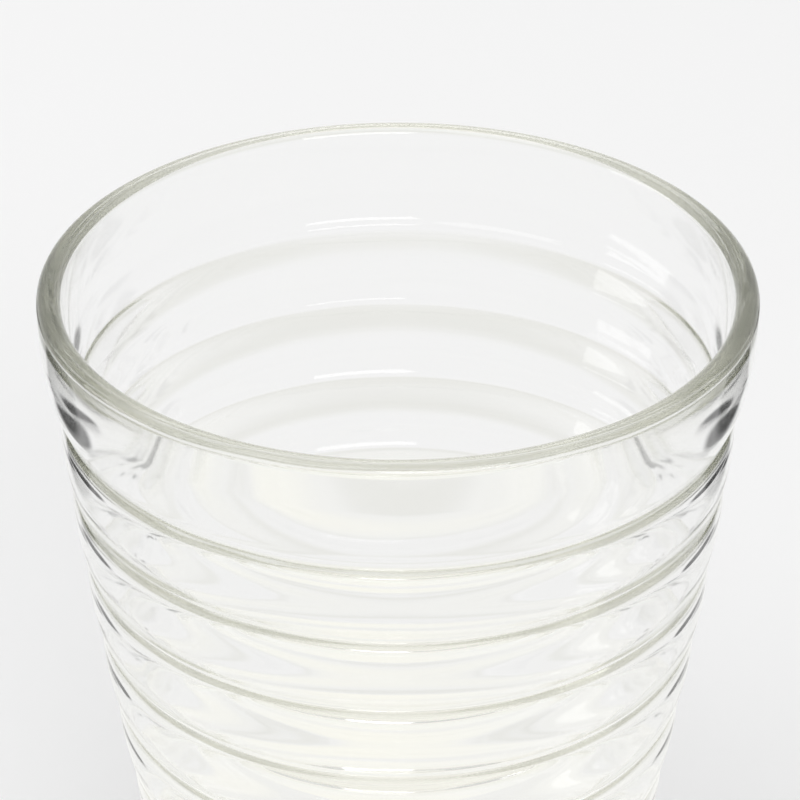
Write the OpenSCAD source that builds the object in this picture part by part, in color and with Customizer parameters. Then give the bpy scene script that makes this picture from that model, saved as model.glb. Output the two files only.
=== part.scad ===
// Tea tumbler of clear pressed glass, made in one piece: a rounded lip, a plain rim
// band, rings stacked round the outside, a tapered inside on which the rings have left
// soft waves, and a thick base that rests on a flat bearing ring. Millimetres, +Z up,
// the origin at the middle of the surface that the tumbler stands on. The outside is a
// chain of circular arcs, each tangent to the next, turned about the Z axis.

/* [Overall] */
// Height from the bearing ring to the top of the lip
height = 102; // [92:0.5:114]
// Diameter over the outside of the rim
rim_d = 80; // [74:0.5:88]
// Diameter at which the lowest ring would meet the table if its heel were not rounded
base_d = 50; // [44:0.5:56]

/* [Rim] */
// Thickness of the glass at the lip, which is a full round
lip_t = 2.7; // [2:0.1:3.4]
// Height of the plain band, from the top of the lip to the first groove
rim_band_h = 14; // [12:0.1:18]
// Depth of the first groove inside the outside of the rim
first_groove_in = 2; // [1.4:0.1:2.6]
// Radius with which the plain band turns in to the first groove
rim_turn_r = 25; // [16:0.5:28]

/* [Rings] */
// Number of rings under the rim band, down to the one that forms the base
ring_count = 9; // [7:1:11]
// Radius of the round section of each ring
ring_r = 26; // [20:0.5:40]
// Radius with which each ring turns under into the groove below it
under_r = 3; // [1.5:0.1:5]
// Radius of the fillet in each groove
groove_r = 2; // [1:0.1:3]
// Curve of the taper: 1 is a straight cone, more makes it steeper at the rim
taper_curve = 1.25; // [1:0.05:1.4]

/* [Inside] */
// Thickness of the wall at the lowest groove
wall_t = 2.5; // [2:0.1:4]
// Height of the soft waves on the inside wall, one below each groove
wave_h = 0.8; // [0.2:0.1:1.2]
// Distance from a groove down to the crest of its wave
wave_drop = 3; // [2:0.1:4]
// Thickness of the base in the middle, above its hollow
base_t = 6.6; // [5:0.1:9]
// Radius of the corner between the wall and the floor
corner_r = 9; // [5:0.5:12]
// Radius of the shallow dish of the floor
floor_r = 95; // [70:1:200]

/* [Underside] */
// Radius of the heel, between the lowest ring and the bearing ring
heel_r = 2.6; // [1.5:0.1:4]
// Width of the flat bearing ring, between the heel and the hollow under the base
bearing_w = 4.2; // [2:0.1:12]
// Depth of the hollow in its middle
hollow_h = 1.4; // [0.6:0.1:2]

/* [Hidden] */
rim_r = rim_d / 2;
lip_r = lip_t / 2;
ring_h = (height - rim_band_h) / ring_count;
ring_steps = 8;
under_steps = 4;
fillet_steps = 4;
lip_steps = 6;
wave_steps = 10;
corner_steps = 12;
floor_steps = 8;
$fn = 128;

// Steps from one angle to the other round a centre, both ends included
function arc(c, r, a0, a1, steps) =
    [for (i = [0:steps]) let (a = a0 + (a1 - a0) * i / steps) c + r * [cos(a), sin(a)]];

// Direction of q seen from p, in degrees
function heading(p, q) = atan2(q.y - p.y, q.x - p.x);

// The upper crossing of a circle on the axis side with one outside it
function upper_crossing(c1, r1, c2, r2) =
    let (
        d = norm(c2 - c1),
        along = (d * d + r1 * r1 - r2 * r2) / (2 * d),
        u = (c2 - c1) / d
    )
    c1 + along * u + sqrt(r1 * r1 - along * along) * [-u.y, u.x];

// Groove k, counted down from the first one, lies on the curved line of the taper
function groove(k) =
    let (t = k / ring_count, top = rim_r - first_groove_in)
    [top + (base_d / 2 - top) * pow(t, taper_curve), ring_h * (ring_count - k)];

// Centre of the arc of the ring between grooves k and k + 1
function ring_centre(k) =
    let (p = groove(k), q = groove(k + 1), half = norm(q - p) / 2, u = (q - p) / (2 * half))
    (p + q) / 2 + sqrt(ring_r * ring_r - half * half) * [u.y, -u.x];

// The plain band falls straight from the lip, then turns in to the first groove
lip_c = [rim_r - lip_r, height - lip_r];
turn_drop = sqrt(first_groove_in * (2 * rim_turn_r - first_groove_in));
turn_c = [rim_r - rim_turn_r, height - rim_band_h + turn_drop];

// The large arcs of the outside, from the rim down
outer_c = concat([turn_c], [for (k = [0:ring_count - 1]) ring_centre(k)]);
outer_r = concat([rim_turn_r], [for (k = [0:ring_count - 1]) ring_r]);

// The fillet of a groove is tangent to the ring below it
fillet_c = [for (k = [0:ring_count - 1])
    let (c = outer_c[k + 1], z = groove(k).y)
    [c.x + sqrt(pow(ring_r + groove_r, 2) - pow(z - c.y, 2)), z]];

// The round under a ring is tangent to the ring and to the fillet
under_c = [for (k = [0:ring_count - 1])
    upper_crossing(outer_c[k], outer_r[k] - under_r, fillet_c[k], under_r + groove_r)];

// The heel is tangent to the lowest ring and to the table
low_c = outer_c[ring_count];
heel_reach = ring_r - heel_r;
heel_c = [low_c.x + sqrt(heel_reach * heel_reach - pow(low_c.y - heel_r, 2)), heel_r];

// Angles at which arc k of the outside starts and ends
function arc_start(k) = k == 0 ? 0 : heading(outer_c[k], fillet_c[k - 1]);
function arc_end(k) = k == ring_count ? heading(low_c, heel_c) : heading(outer_c[k], under_c[k]);

// One arc of the outside, with the round and the fillet below it if it has them
function outer_run(k) = concat(
    arc(outer_c[k], outer_r[k], arc_start(k), arc_end(k), ring_steps),
    k == ring_count ? [] : groove_run(k)
);
function groove_run(k) =
    let (
        into = heading(under_c[k], fillet_c[k]),
        under = arc(under_c[k], under_r, arc_end(k), into, under_steps),
        out = heading(outer_c[k + 1], fillet_c[k]),
        fillet = arc(fillet_c[k], groove_r, into + 180, out + 180, fillet_steps)
    )
    concat(
        [for (i = [1:under_steps]) under[i]],
        [for (i = [1:fillet_steps - 1]) fillet[i]]
    );

// The inside wall runs tangent to the lip, wall_t inside the lowest groove
low_groove = groove(ring_count - 1);
wall_p = low_groove - [wall_t, 0];
wall_angle = heading(wall_p, lip_c) + asin(lip_r / norm(lip_c - wall_p));
wall_u = [cos(wall_angle), sin(wall_angle)];
wall_in = [-wall_u.y, wall_u.x];

// The floor's dish, and the corner that is tangent to it and to the wall
floor_z = base_t + hollow_h;
floor_c = [0, floor_z + floor_r];
corner_p = wall_p + corner_r * wall_in;
corner_b = (corner_p - floor_c) * wall_u;
corner_q = pow(norm(corner_p - floor_c), 2) - pow(floor_r - corner_r, 2);
corner_c = corner_p + (-corner_b - sqrt(corner_b * corner_b - corner_q)) * wall_u;

// The waves of the inside wall, each one ring high, as far down as the corner allows
wall_foot = corner_c - corner_r * wall_in;
wave_top = groove(0).y - wave_drop + ring_h / 2;
wave_count = floor((wave_top - wall_foot.y) / ring_h);
wave_end = wave_top - wave_count * ring_h;
function on_wall(z) = wall_foot + wall_u * (z - wall_foot.y) / wall_u.y;
function wave(z) = wave_h / 2 * (1 - cos(360 * (z - wave_end) / ring_h));
wave_run = [for (i = [0:wave_count * wave_steps])
    let (z = wave_end + ring_h * i / wave_steps) on_wall(z) + wave(z) * wall_in];

// The hollow under the base starts bearing_w inside the heel
hollow_edge = [heel_c.x - bearing_w, 0];
hollow_r = (hollow_edge.x * hollow_edge.x + hollow_h * hollow_h) / (2 * hollow_h);
hollow_c = [0, hollow_h - hollow_r];

// Outline of the glass on one side of the axis: up over the lip, down the outside,
// under the base and back up the axis to the floor
outline = concat(
    arc(floor_c, floor_r, -90, heading(floor_c, corner_c), floor_steps),
    arc(corner_c, corner_r, heading(floor_c, corner_c), wall_angle - 90, corner_steps),
    wave_run,
    arc(lip_c, lip_r, wall_angle + 90, 90, lip_steps),
    arc(lip_c, lip_r, 90, 0, lip_steps),
    [for (k = [0:ring_count]) each outer_run(k)],
    arc(heel_c, heel_r, heading(low_c, heel_c), -90, corner_steps / 2),
    arc(hollow_c, hollow_r, heading(hollow_c, hollow_edge), 90, floor_steps)
);

// The whole tumbler, pressed from one gob of glass
module tumbler() {
    color([0.83, 0.86, 0.79, 0.45])
        rotate_extrude()
            polygon(outline);
}

tumbler();
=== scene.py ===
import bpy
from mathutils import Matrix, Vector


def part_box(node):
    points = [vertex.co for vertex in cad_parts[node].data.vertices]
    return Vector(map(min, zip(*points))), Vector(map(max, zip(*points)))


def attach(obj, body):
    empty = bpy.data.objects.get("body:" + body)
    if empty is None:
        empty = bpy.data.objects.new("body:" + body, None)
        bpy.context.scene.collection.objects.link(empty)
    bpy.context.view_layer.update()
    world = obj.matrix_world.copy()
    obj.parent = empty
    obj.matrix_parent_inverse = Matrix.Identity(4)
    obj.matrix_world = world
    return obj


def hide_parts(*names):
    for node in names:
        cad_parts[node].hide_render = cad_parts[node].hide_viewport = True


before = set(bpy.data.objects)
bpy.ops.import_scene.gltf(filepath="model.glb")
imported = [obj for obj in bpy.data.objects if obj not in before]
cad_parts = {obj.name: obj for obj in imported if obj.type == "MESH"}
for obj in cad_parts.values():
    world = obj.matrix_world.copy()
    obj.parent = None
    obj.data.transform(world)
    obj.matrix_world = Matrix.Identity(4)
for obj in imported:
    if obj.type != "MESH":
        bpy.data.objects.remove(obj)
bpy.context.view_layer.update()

import math

import bpy
import numpy as np
from mathutils import Vector

# Units: every length below is in metres, and MM turns millimetres into metres
MM = 0.001

# Size of the tumbler, taken from the frame
BOX_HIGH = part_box("tumbler")[1]
RIM_R = BOX_HIGH.x
HEIGHT = BOX_HIGH.z

# Shape of the tumbler, the same values as in its construction
BASE_R = 25 * MM
LIP_R = 1.35 * MM
RIM_BAND_H = 14 * MM
FIRST_GROOVE_IN = 2 * MM
RIM_TURN_R = 25 * MM
RING_COUNT = 9
RING_R = 26 * MM
UNDER_R = 3 * MM
GROOVE_R = 2 * MM
TAPER_CURVE = 1.25
WALL_T = 2.5 * MM
WAVE_H = 0.8 * MM
WAVE_DROP = 3 * MM
BASE_T = 6.6 * MM
CORNER_R = 9 * MM
FLOOR_R = 95 * MM
HEEL_R = 2.6 * MM
BEARING_W = 4.2 * MM
HOLLOW_H = 1.4 * MM
RING_H = (HEIGHT - RIM_BAND_H) / RING_COUNT

# Fineness of the mesh
SEGMENTS = 256
ARC_STEP = 1.2 * MM
ARC_STEPS_LEAST = 4
WAVE_STEPS = 16
UNDER_STEPS = 5
FILLET_STEPS = 6
LIP_STEPS = 12

# Unevenness of the pressed wall: ripples, so many times round it and so long up it. They
# fade towards the lip and the table, and towards the axis from one radius to the other.
RIPPLE_SEED = 7
RIPPLE_COUNT = 14
RIPPLE_DEPTH = 0.16 * MM
RIPPLE_ROUND = (3, 20)
RIPPLE_LENGTH = (14 * MM, 60 * MM)
RIPPLE_FADE = 8 * MM
RIPPLE_CORE = (CORNER_R, 2 * CORNER_R)

# Glass
GLASS_IOR = 1.52
GLASS_ROUGHNESS = 0.04
GLASS_TINT = (0.72, 0.727, 0.665)
GLASS_DENSITY = 13.0
BOUNCES = 64

# Photograph: the camera fitted to it, in its 800 pixel frame
PICTURE_PX = 800
FOCAL_PX = 3291
AXIS_PX = 398
SENSOR = 36 * MM
CAMERA_AWAY = 320 * MM
CAMERA_OVER_RIM = 175 * MM
CAMERA_PITCH = math.radians(30.81)

# Studio: a white table and a plain room
WHITE = 0.913
ROOM = (0.76, 0.76, 0.76)
TABLE_SIDE = 6

# The table as the glass shows it, with painted light: its colour at each distance from the
# tumbler's axis, warm under the foot and lighter where the tumbler gathers light round it
PAINTED_TABLE_LIGHT = (
    (30 * MM, (0.93, 0.92, 0.84)),
    (50 * MM, (0.99, 0.99, 0.96)),
    (80 * MM, (0.92, 0.92, 0.895)),
    (110 * MM, (0.91, 0.91, 0.9)),
    (165 * MM, (WHITE, WHITE, WHITE)),
)
TABLE_REACH = 200 * MM

# Soft painted spots laid over that, each with its centre, radius, squeeze, colour and, for
# some, the share of the radius that has the full colour: the tumbler's painted shade, the
# painted light that it gathers, and painted dark patches on both sides that stand in for the
# unlit ends of the studio
SHADE = ((0, 117 * MM), 27 * MM, 0.25, (0.83, 0.83, 0.8))
PAINTED_LIGHT_POOL = ((-5 * MM, 60 * MM), 30 * MM, 1, (1.0, 0.99, 0.91))
PAINTED_DARK_ENDS = (
    ((140 * MM, 104 * MM), 44 * MM, 0.9, (0.02, 0.02, 0.02), 0.7),
    ((180 * MM, 200 * MM), 60 * MM, 1, (0.04, 0.04, 0.04), 0.5),
    ((104 * MM, 172 * MM), 15 * MM, 1, (0.15, 0.15, 0.15), 0.4),
)

# Lamps: name, azimuth and elevation in degrees, distance, width and height in metres, and
# radiance. The azimuth runs from straight behind the tumbler, seen from the camera, over its
# right to the camera's own side at 180.
LAMPS = (
    ("key", 232, 62, 1.4, 0.75, 0.75, 1.1),
    ("strip", 165, 36, 1.5, 0.9, 0.55, 3.0),
    ("side", 271, 10, 1.2, 0.6, 0.35, 2.0),
    ("back", 350, 45, 1.5, 0.9, 0.5, 1.5),
)


def arc(centre, radius, start, end, steps):
    """Points from one angle to the other round a centre, in (radius, height)."""
    angles = np.linspace(start, end, steps + 1)
    return [centre + radius * np.array([math.cos(a), math.sin(a)]) for a in angles]


def heading(p, q):
    """Direction of q seen from p."""
    return math.atan2(q[1] - p[1], q[0] - p[0])


def upper_crossing(c1, r1, c2, r2):
    """The upper crossing of a circle on the axis side with one outside it."""
    d = np.linalg.norm(c2 - c1)
    along = (d * d + r1 * r1 - r2 * r2) / (2 * d)
    u = (c2 - c1) / d
    return c1 + along * u + math.sqrt(r1 * r1 - along * along) * np.array([-u[1], u[0]])


def groove(k):
    """Groove k, counted down from the first one."""
    t = k / RING_COUNT
    top = RIM_R - FIRST_GROOVE_IN
    return np.array([top + (BASE_R - top) * t**TAPER_CURVE, RING_H * (RING_COUNT - k)])


def ring_centre(k):
    """Centre of the arc of the ring between grooves k and k + 1."""
    p, q = groove(k), groove(k + 1)
    half = np.linalg.norm(q - p) / 2
    u = (q - p) / (2 * half)
    return (p + q) / 2 + math.sqrt(RING_R**2 - half**2) * np.array([u[1], -u[0]])


def steps_for(radius, turn):
    """How many steps an arc of this radius and angle takes."""
    return max(ARC_STEPS_LEAST, math.ceil(radius * abs(turn) / ARC_STEP))


def outside():
    """The rim band, the rings and the grooves between them, from the lip to the heel."""
    drop = math.sqrt(FIRST_GROOVE_IN * (2 * RIM_TURN_R - FIRST_GROOVE_IN))
    centres = [np.array([RIM_R - RIM_TURN_R, HEIGHT - RIM_BAND_H + drop])]
    centres += [ring_centre(k) for k in range(RING_COUNT)]
    radii = [RIM_TURN_R] + [RING_R] * RING_COUNT
    low = centres[-1]
    reach = RING_R - HEEL_R
    heel_c = np.array([low[0] + math.sqrt(reach**2 - (low[1] - HEEL_R) ** 2), HEEL_R])
    points = []
    start = 0
    for k in range(RING_COUNT):
        ring, z = centres[k + 1], groove(k)[1]
        x = ring[0] + math.sqrt((RING_R + GROOVE_R) ** 2 - (z - ring[1]) ** 2)
        fillet = np.array([x, z])
        under = upper_crossing(centres[k], radii[k] - UNDER_R, fillet, UNDER_R + GROOVE_R)
        end = heading(centres[k], under)
        points += arc(centres[k], radii[k], start, end, steps_for(radii[k], end - start))
        into = heading(under, fillet)
        points += arc(under, UNDER_R, end, into, UNDER_STEPS)[1:]
        start = heading(ring, fillet)
        points += arc(fillet, GROOVE_R, into + math.pi, start + math.pi, FILLET_STEPS)[1:-1]
    end = heading(low, heel_c)
    points += arc(low, RING_R, start, end, steps_for(RING_R, end - start))
    points += arc(heel_c, HEEL_R, end, -math.pi / 2, LIP_STEPS // 2)[1:]
    return points, heel_c


def inside():
    """The floor, the corner and the waved wall, up to the foot of the lip."""
    lip_c = np.array([RIM_R - LIP_R, HEIGHT - LIP_R])
    wall_p = groove(RING_COUNT - 1) - np.array([WALL_T, 0])
    lean = heading(wall_p, lip_c) + math.asin(LIP_R / np.linalg.norm(lip_c - wall_p))
    wall_u = np.array([math.cos(lean), math.sin(lean)])
    wall_in = np.array([-wall_u[1], wall_u[0]])
    floor_c = np.array([0, BASE_T + HOLLOW_H + FLOOR_R])
    corner_p = wall_p + CORNER_R * wall_in
    b = float((corner_p - floor_c) @ wall_u)
    q = float((corner_p - floor_c) @ (corner_p - floor_c)) - (FLOOR_R - CORNER_R) ** 2
    corner_c = corner_p + (-b - math.sqrt(b * b - q)) * wall_u
    turn, upright = heading(floor_c, corner_c), lean - math.pi / 2
    points = arc(floor_c, FLOOR_R, -math.pi / 2, turn, steps_for(FLOOR_R, turn + math.pi / 2))
    points += arc(corner_c, CORNER_R, turn, upright, steps_for(CORNER_R, upright - turn))[1:]
    foot = points[-1]
    wave_top = groove(0)[1] - WAVE_DROP + RING_H / 2
    waves = math.floor((wave_top - foot[1]) / RING_H)
    for i in range(waves * WAVE_STEPS + 1):
        rise = RING_H * i / WAVE_STEPS
        up = wave_top - waves * RING_H + rise - foot[1]
        swell = WAVE_H / 2 * (1 - math.cos(math.tau * rise / RING_H))
        points.append(foot + wall_u * up / wall_u[1] + swell * wall_in)
    return points, lip_c, lean


def outline():
    """The glass on one side of the axis, from the middle of the floor over the lip to
    the middle of the hollow under the base."""
    points, lip_c, lean = inside()
    points += arc(lip_c, LIP_R, lean + math.pi / 2, math.pi / 2, LIP_STEPS)
    lip_at = len(points) - 1
    points += arc(lip_c, LIP_R, math.pi / 2, 0, LIP_STEPS)[1:]
    down, heel_c = outside()
    points += down[1:]
    edge = np.array([heel_c[0] - BEARING_W, 0])
    hollow_r = (edge[0] ** 2 + HOLLOW_H**2) / (2 * HOLLOW_H)
    hollow_c = np.array([0, HOLLOW_H - hollow_r])
    end = heading(hollow_c, edge)
    points += arc(hollow_c, hollow_r, end, math.pi / 2, steps_for(hollow_r, math.pi / 2 - end))
    return points, lip_at


def ripples(rng):
    """Soft unevenness of pressed glass: waves round the wall and up it, added up. The
    function that it returns gives the level, from 0 to 1, at some angles and one height."""
    round_it = rng.integers(*RIPPLE_ROUND, RIPPLE_COUNT)
    up_it = math.tau / rng.uniform(*RIPPLE_LENGTH, RIPPLE_COUNT)
    phase = rng.uniform(0, math.tau, RIPPLE_COUNT)

    def level(angles, z):
        waves = np.cos(np.outer(angles, round_it) + up_it * z + phase)
        return 0.5 + waves.sum(axis=1) / (2 * RIPPLE_COUNT)

    return level


def ease(low, high, value):
    """A smooth step from 0 at the low value to 1 at the high one."""
    t = min(max((value - low) / (high - low), 0), 1)
    return t * t * (3 - 2 * t)


def turned(name, points, lip_at):
    """A closed mesh: the outline turned round the axis, with one vertex at each pole. Both
    faces of the wall are a little uneven, always on the glass's side of the outline."""
    rng = np.random.default_rng(RIPPLE_SEED)
    inner, outer = ripples(rng), ripples(rng)
    rings = points[1:-1]
    angles = np.arange(SEGMENTS) * math.tau / SEGMENTS
    verts = [(0, 0, float(points[0][1]))]
    for k, (r, z) in enumerate(rings):
        fade = ease(0, RIPPLE_FADE, HEIGHT - z) * ease(*RIPPLE_CORE, r)
        fade *= ease(0, RIPPLE_FADE, z)
        if k < lip_at:
            radii = r + RIPPLE_DEPTH * fade * inner(angles, z)
        else:
            radii = r - RIPPLE_DEPTH * fade * outer(angles, z)
        for q, a in zip(radii, angles):
            verts.append((float(q * math.cos(a)), float(q * math.sin(a)), float(z)))
    verts.append((0, 0, float(points[-1][1])))
    faces = []
    for i in range(SEGMENTS):
        j = (i + 1) % SEGMENTS
        faces.append((0, 1 + i, 1 + j))
        for k in range(len(rings) - 1):
            a, b = 1 + k * SEGMENTS, 1 + (k + 1) * SEGMENTS
            faces.append((a + i, b + i, b + j, a + j))
        last = 1 + (len(rings) - 1) * SEGMENTS
        faces.append((last + i, len(verts) - 1, last + j))
    mesh = bpy.data.meshes.new(name)
    mesh.from_pydata(verts, [], faces)
    mesh.polygons.foreach_set("use_smooth", [True] * len(mesh.polygons))
    mesh.update()
    thing = bpy.data.objects.new(name, mesh)
    bpy.context.scene.collection.objects.link(thing)
    return thing


def glass_material():
    """Clear soda-lime glass that tints olive with depth."""
    mat = bpy.data.materials.new("clear_glass")
    mat.use_nodes = True
    nt = mat.node_tree
    shader = nt.nodes["Principled BSDF"]
    shader.inputs["Base Color"].default_value = (1, 1, 1, 1)
    shader.inputs["Roughness"].default_value = GLASS_ROUGHNESS
    shader.inputs["IOR"].default_value = GLASS_IOR
    shader.inputs["Transmission Weight"].default_value = 1.0
    depth = nt.nodes.new("ShaderNodeVolumeAbsorption")
    depth.inputs["Color"].default_value = (*GLASS_TINT, 1)
    depth.inputs["Density"].default_value = GLASS_DENSITY
    nt.links.new(depth.outputs["Volume"], nt.nodes["Material Output"].inputs["Volume"])
    return mat


def spot(nt, place, under, centre, radius, squeeze, tone, core=0.0):
    """A soft painted spot of light or shade on the table, laid over the colour under it. A
    squeeze under 1 makes it wider from left to right, and the core is the share of the radius
    that has the full colour. Inputs 6 and 7 of the mix node are its two colours, and output 2
    is the result."""
    shape = nt.nodes.new("ShaderNodeVectorMath")
    shape.operation = "MULTIPLY"
    shape.inputs[1].default_value = (squeeze, 1, 1)
    away = nt.nodes.new("ShaderNodeVectorMath")
    away.operation = "DISTANCE"
    away.inputs[1].default_value = (centre[0] * squeeze, centre[1], 0)
    fade = nt.nodes.new("ShaderNodeMapRange")
    fade.interpolation_type = "SMOOTHSTEP"
    fade.inputs["From Min"].default_value = radius
    fade.inputs["From Max"].default_value = radius * core
    over = nt.nodes.new("ShaderNodeMix")
    over.data_type = "RGBA"
    over.inputs[7].default_value = (*tone, 1)
    nt.links.new(place, shape.inputs[0])
    nt.links.new(shape.outputs["Vector"], away.inputs[0])
    nt.links.new(away.outputs["Value"], fade.inputs["Value"])
    nt.links.new(fade.outputs["Result"], over.inputs[0])
    nt.links.new(under, over.inputs[6])
    return over.outputs[2]


def floor_material():
    """A matt white table, which takes the tumbler's shadow. What the glass shows of it, by
    glossy and transmission rays, is a glow in the painted light and shade set above."""
    mat = bpy.data.materials.new("table")
    mat.use_nodes = True
    nt = mat.node_tree
    nt.nodes.remove(nt.nodes["Principled BSDF"])
    matt = nt.nodes.new("ShaderNodeBsdfDiffuse")
    matt.inputs["Color"].default_value = (WHITE, WHITE, WHITE, 1)
    place = nt.nodes.new("ShaderNodeTexCoord").outputs["Object"]
    away = nt.nodes.new("ShaderNodeVectorMath")
    away.operation = "LENGTH"
    reach = nt.nodes.new("ShaderNodeMath")
    reach.operation = "DIVIDE"
    reach.inputs[1].default_value = TABLE_REACH
    tone = nt.nodes.new("ShaderNodeValToRGB")
    tone.color_ramp.interpolation = "EASE"
    ramp = tone.color_ramp.elements
    ramp[0].position, ramp[1].position = (r / TABLE_REACH for r, _ in PAINTED_TABLE_LIGHT[:2])
    for r, _ in PAINTED_TABLE_LIGHT[2:]:
        ramp.new(r / TABLE_REACH)
    for stop, (_, level) in zip(ramp, PAINTED_TABLE_LIGHT):
        stop.color = (*level, 1)
    nt.links.new(place, away.inputs[0])
    nt.links.new(away.outputs["Value"], reach.inputs[0])
    nt.links.new(reach.outputs[0], tone.inputs["Fac"])
    # Painted shade behind the tumbler, painted light that it gathers and painted dark patches
    # at both sides, over the painted table light
    shaded = spot(nt, place, tone.outputs["Color"], *SHADE)
    seen = spot(nt, place, shaded, *PAINTED_LIGHT_POOL)
    for side in (-1, 1):
        for (x, y), *shape in PAINTED_DARK_ENDS:
            seen = spot(nt, place, seen, (side * x, y), *shape)
    glow = nt.nodes.new("ShaderNodeEmission")
    path = nt.nodes.new("ShaderNodeLightPath")
    either = nt.nodes.new("ShaderNodeMath")
    either.operation = "MAXIMUM"
    mix = nt.nodes.new("ShaderNodeMixShader")
    nt.links.new(seen, glow.inputs["Color"])
    nt.links.new(path.outputs["Is Glossy Ray"], either.inputs[0])
    nt.links.new(path.outputs["Is Transmission Ray"], either.inputs[1])
    nt.links.new(either.outputs[0], mix.inputs["Fac"])
    nt.links.new(matt.outputs[0], mix.inputs[1])
    nt.links.new(glow.outputs[0], mix.inputs[2])
    nt.links.new(mix.outputs[0], nt.nodes["Material Output"].inputs["Surface"])
    return mat


def table():
    """A square floor, which is no piece of the object."""
    mesh = bpy.data.meshes.new("table")
    half = TABLE_SIDE / 2
    corners = [(-half, -half, 0), (half, -half, 0), (half, half, 0), (-half, half, 0)]
    mesh.from_pydata(corners, [], [(0, 1, 2, 3)])
    mesh.materials.append(floor_material())
    thing = bpy.data.objects.new("table", mesh)
    bpy.context.scene.collection.objects.link(thing)


def softbox(name, azimuth, elevation, distance, width, height, radiance):
    """A soft rectangular lamp aimed at the middle of the tumbler's mouth."""
    a, e = math.radians(azimuth), math.radians(elevation)
    ahead = Vector((math.sin(a) * math.cos(e), math.cos(a) * math.cos(e), math.sin(e)))
    data = bpy.data.lights.new(name, "AREA")
    data.shape = "RECTANGLE"
    data.size = width
    data.size_y = height
    data.energy = radiance * math.pi * width * height
    lamp = bpy.data.objects.new(name, data)
    lamp.location = Vector((0, 0, HEIGHT)) + distance * ahead
    lamp.rotation_euler = ahead.to_track_quat("Z", "Y").to_euler()
    bpy.context.scene.collection.objects.link(lamp)


def room():
    """Even light from all round."""
    studio = bpy.data.worlds.new("studio")
    studio.use_nodes = True
    back = studio.node_tree.nodes["Background"]
    back.inputs["Color"].default_value = (*ROOM, 1)
    back.inputs["Strength"].default_value = 1.0
    bpy.context.scene.world = studio


def camera():
    """The photograph's camera. Its lens shift puts the tumbler's axis a little off centre."""
    data = bpy.data.cameras.new("camera")
    data.sensor_width = SENSOR / MM
    data.lens = FOCAL_PX / PICTURE_PX * SENSOR / MM
    data.shift_x = (PICTURE_PX / 2 - AXIS_PX) / PICTURE_PX
    eye = bpy.data.objects.new("camera", data)
    eye.location = (0, -CAMERA_AWAY, HEIGHT + CAMERA_OVER_RIM)
    eye.rotation_euler = (math.pi / 2 - CAMERA_PITCH, 0, 0)
    bpy.context.scene.collection.objects.link(eye)
    bpy.context.scene.camera = eye


camera()
glass = turned("tumbler_glass", *outline())
glass.data.materials.append(glass_material())
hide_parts("tumbler")
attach(glass, "root")
table()
room()
for lamp in LAMPS:
    softbox(*lamp)

scene = bpy.context.scene
scene.view_settings.view_transform = "Standard"
scene.cycles.max_bounces = BOUNCES
scene.cycles.transmission_bounces = BOUNCES
scene.cycles.glossy_bounces = BOUNCES
